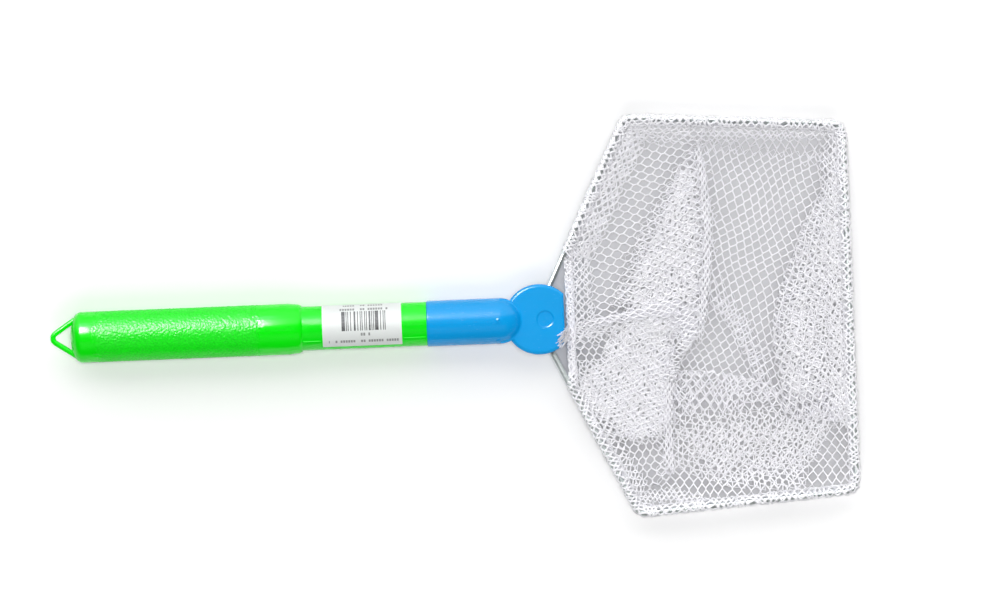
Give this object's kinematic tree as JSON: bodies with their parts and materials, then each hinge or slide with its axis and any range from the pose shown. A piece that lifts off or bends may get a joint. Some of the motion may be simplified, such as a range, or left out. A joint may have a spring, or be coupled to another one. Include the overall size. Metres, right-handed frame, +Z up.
{
  "type": "hand dip net",
  "caption": "Short-handled floating dip net with a stippled grip and hang loop, a domed coupling, a bent-wire hoop and a collapsed white netting bag.",
  "frame": {"origin": "centre of the bounding box's base, under the handle's axis, on the surface that the net lies on", "axes": "+X along the handle's axis from the hang loop to the hoop, +Z up, out of the bag's mouth, and +Y across the hoop"},
  "size_m": [0.4592, 0.23, 0.029],
  "materials": {
    "grip_plastic": "bright green moulded plastic, glossy, stippled over the grip",
    "tube_plastic": "bright green moulded plastic, smooth and glossy",
    "float_foam": "white closed-cell foam",
    "plug_plastic": "black soft plastic",
    "label_paper": "white paper sticker with a satin face",
    "coupling_plastic": "bright blue moulded plastic, satin gloss",
    "screw_steel": "zinc-plated steel",
    "wire_steel": "galvanised steel wire",
    "netting": "white knotless nylon netting"
  },
  "bodies": {
    "root": {"grip": "grip_plastic", "handle_tube": "tube_plastic", "float_core": "float_foam", "tube_plug": "plug_plastic", "label": "label_paper", "coupling_body": "coupling_plastic", "coupling_cover": "coupling_plastic", "cover_screws": "screw_steel", "hoop_wire": "wire_steel", "net_hem": "netting", "net_bag": "netting"}
  },
  "joints": []
}
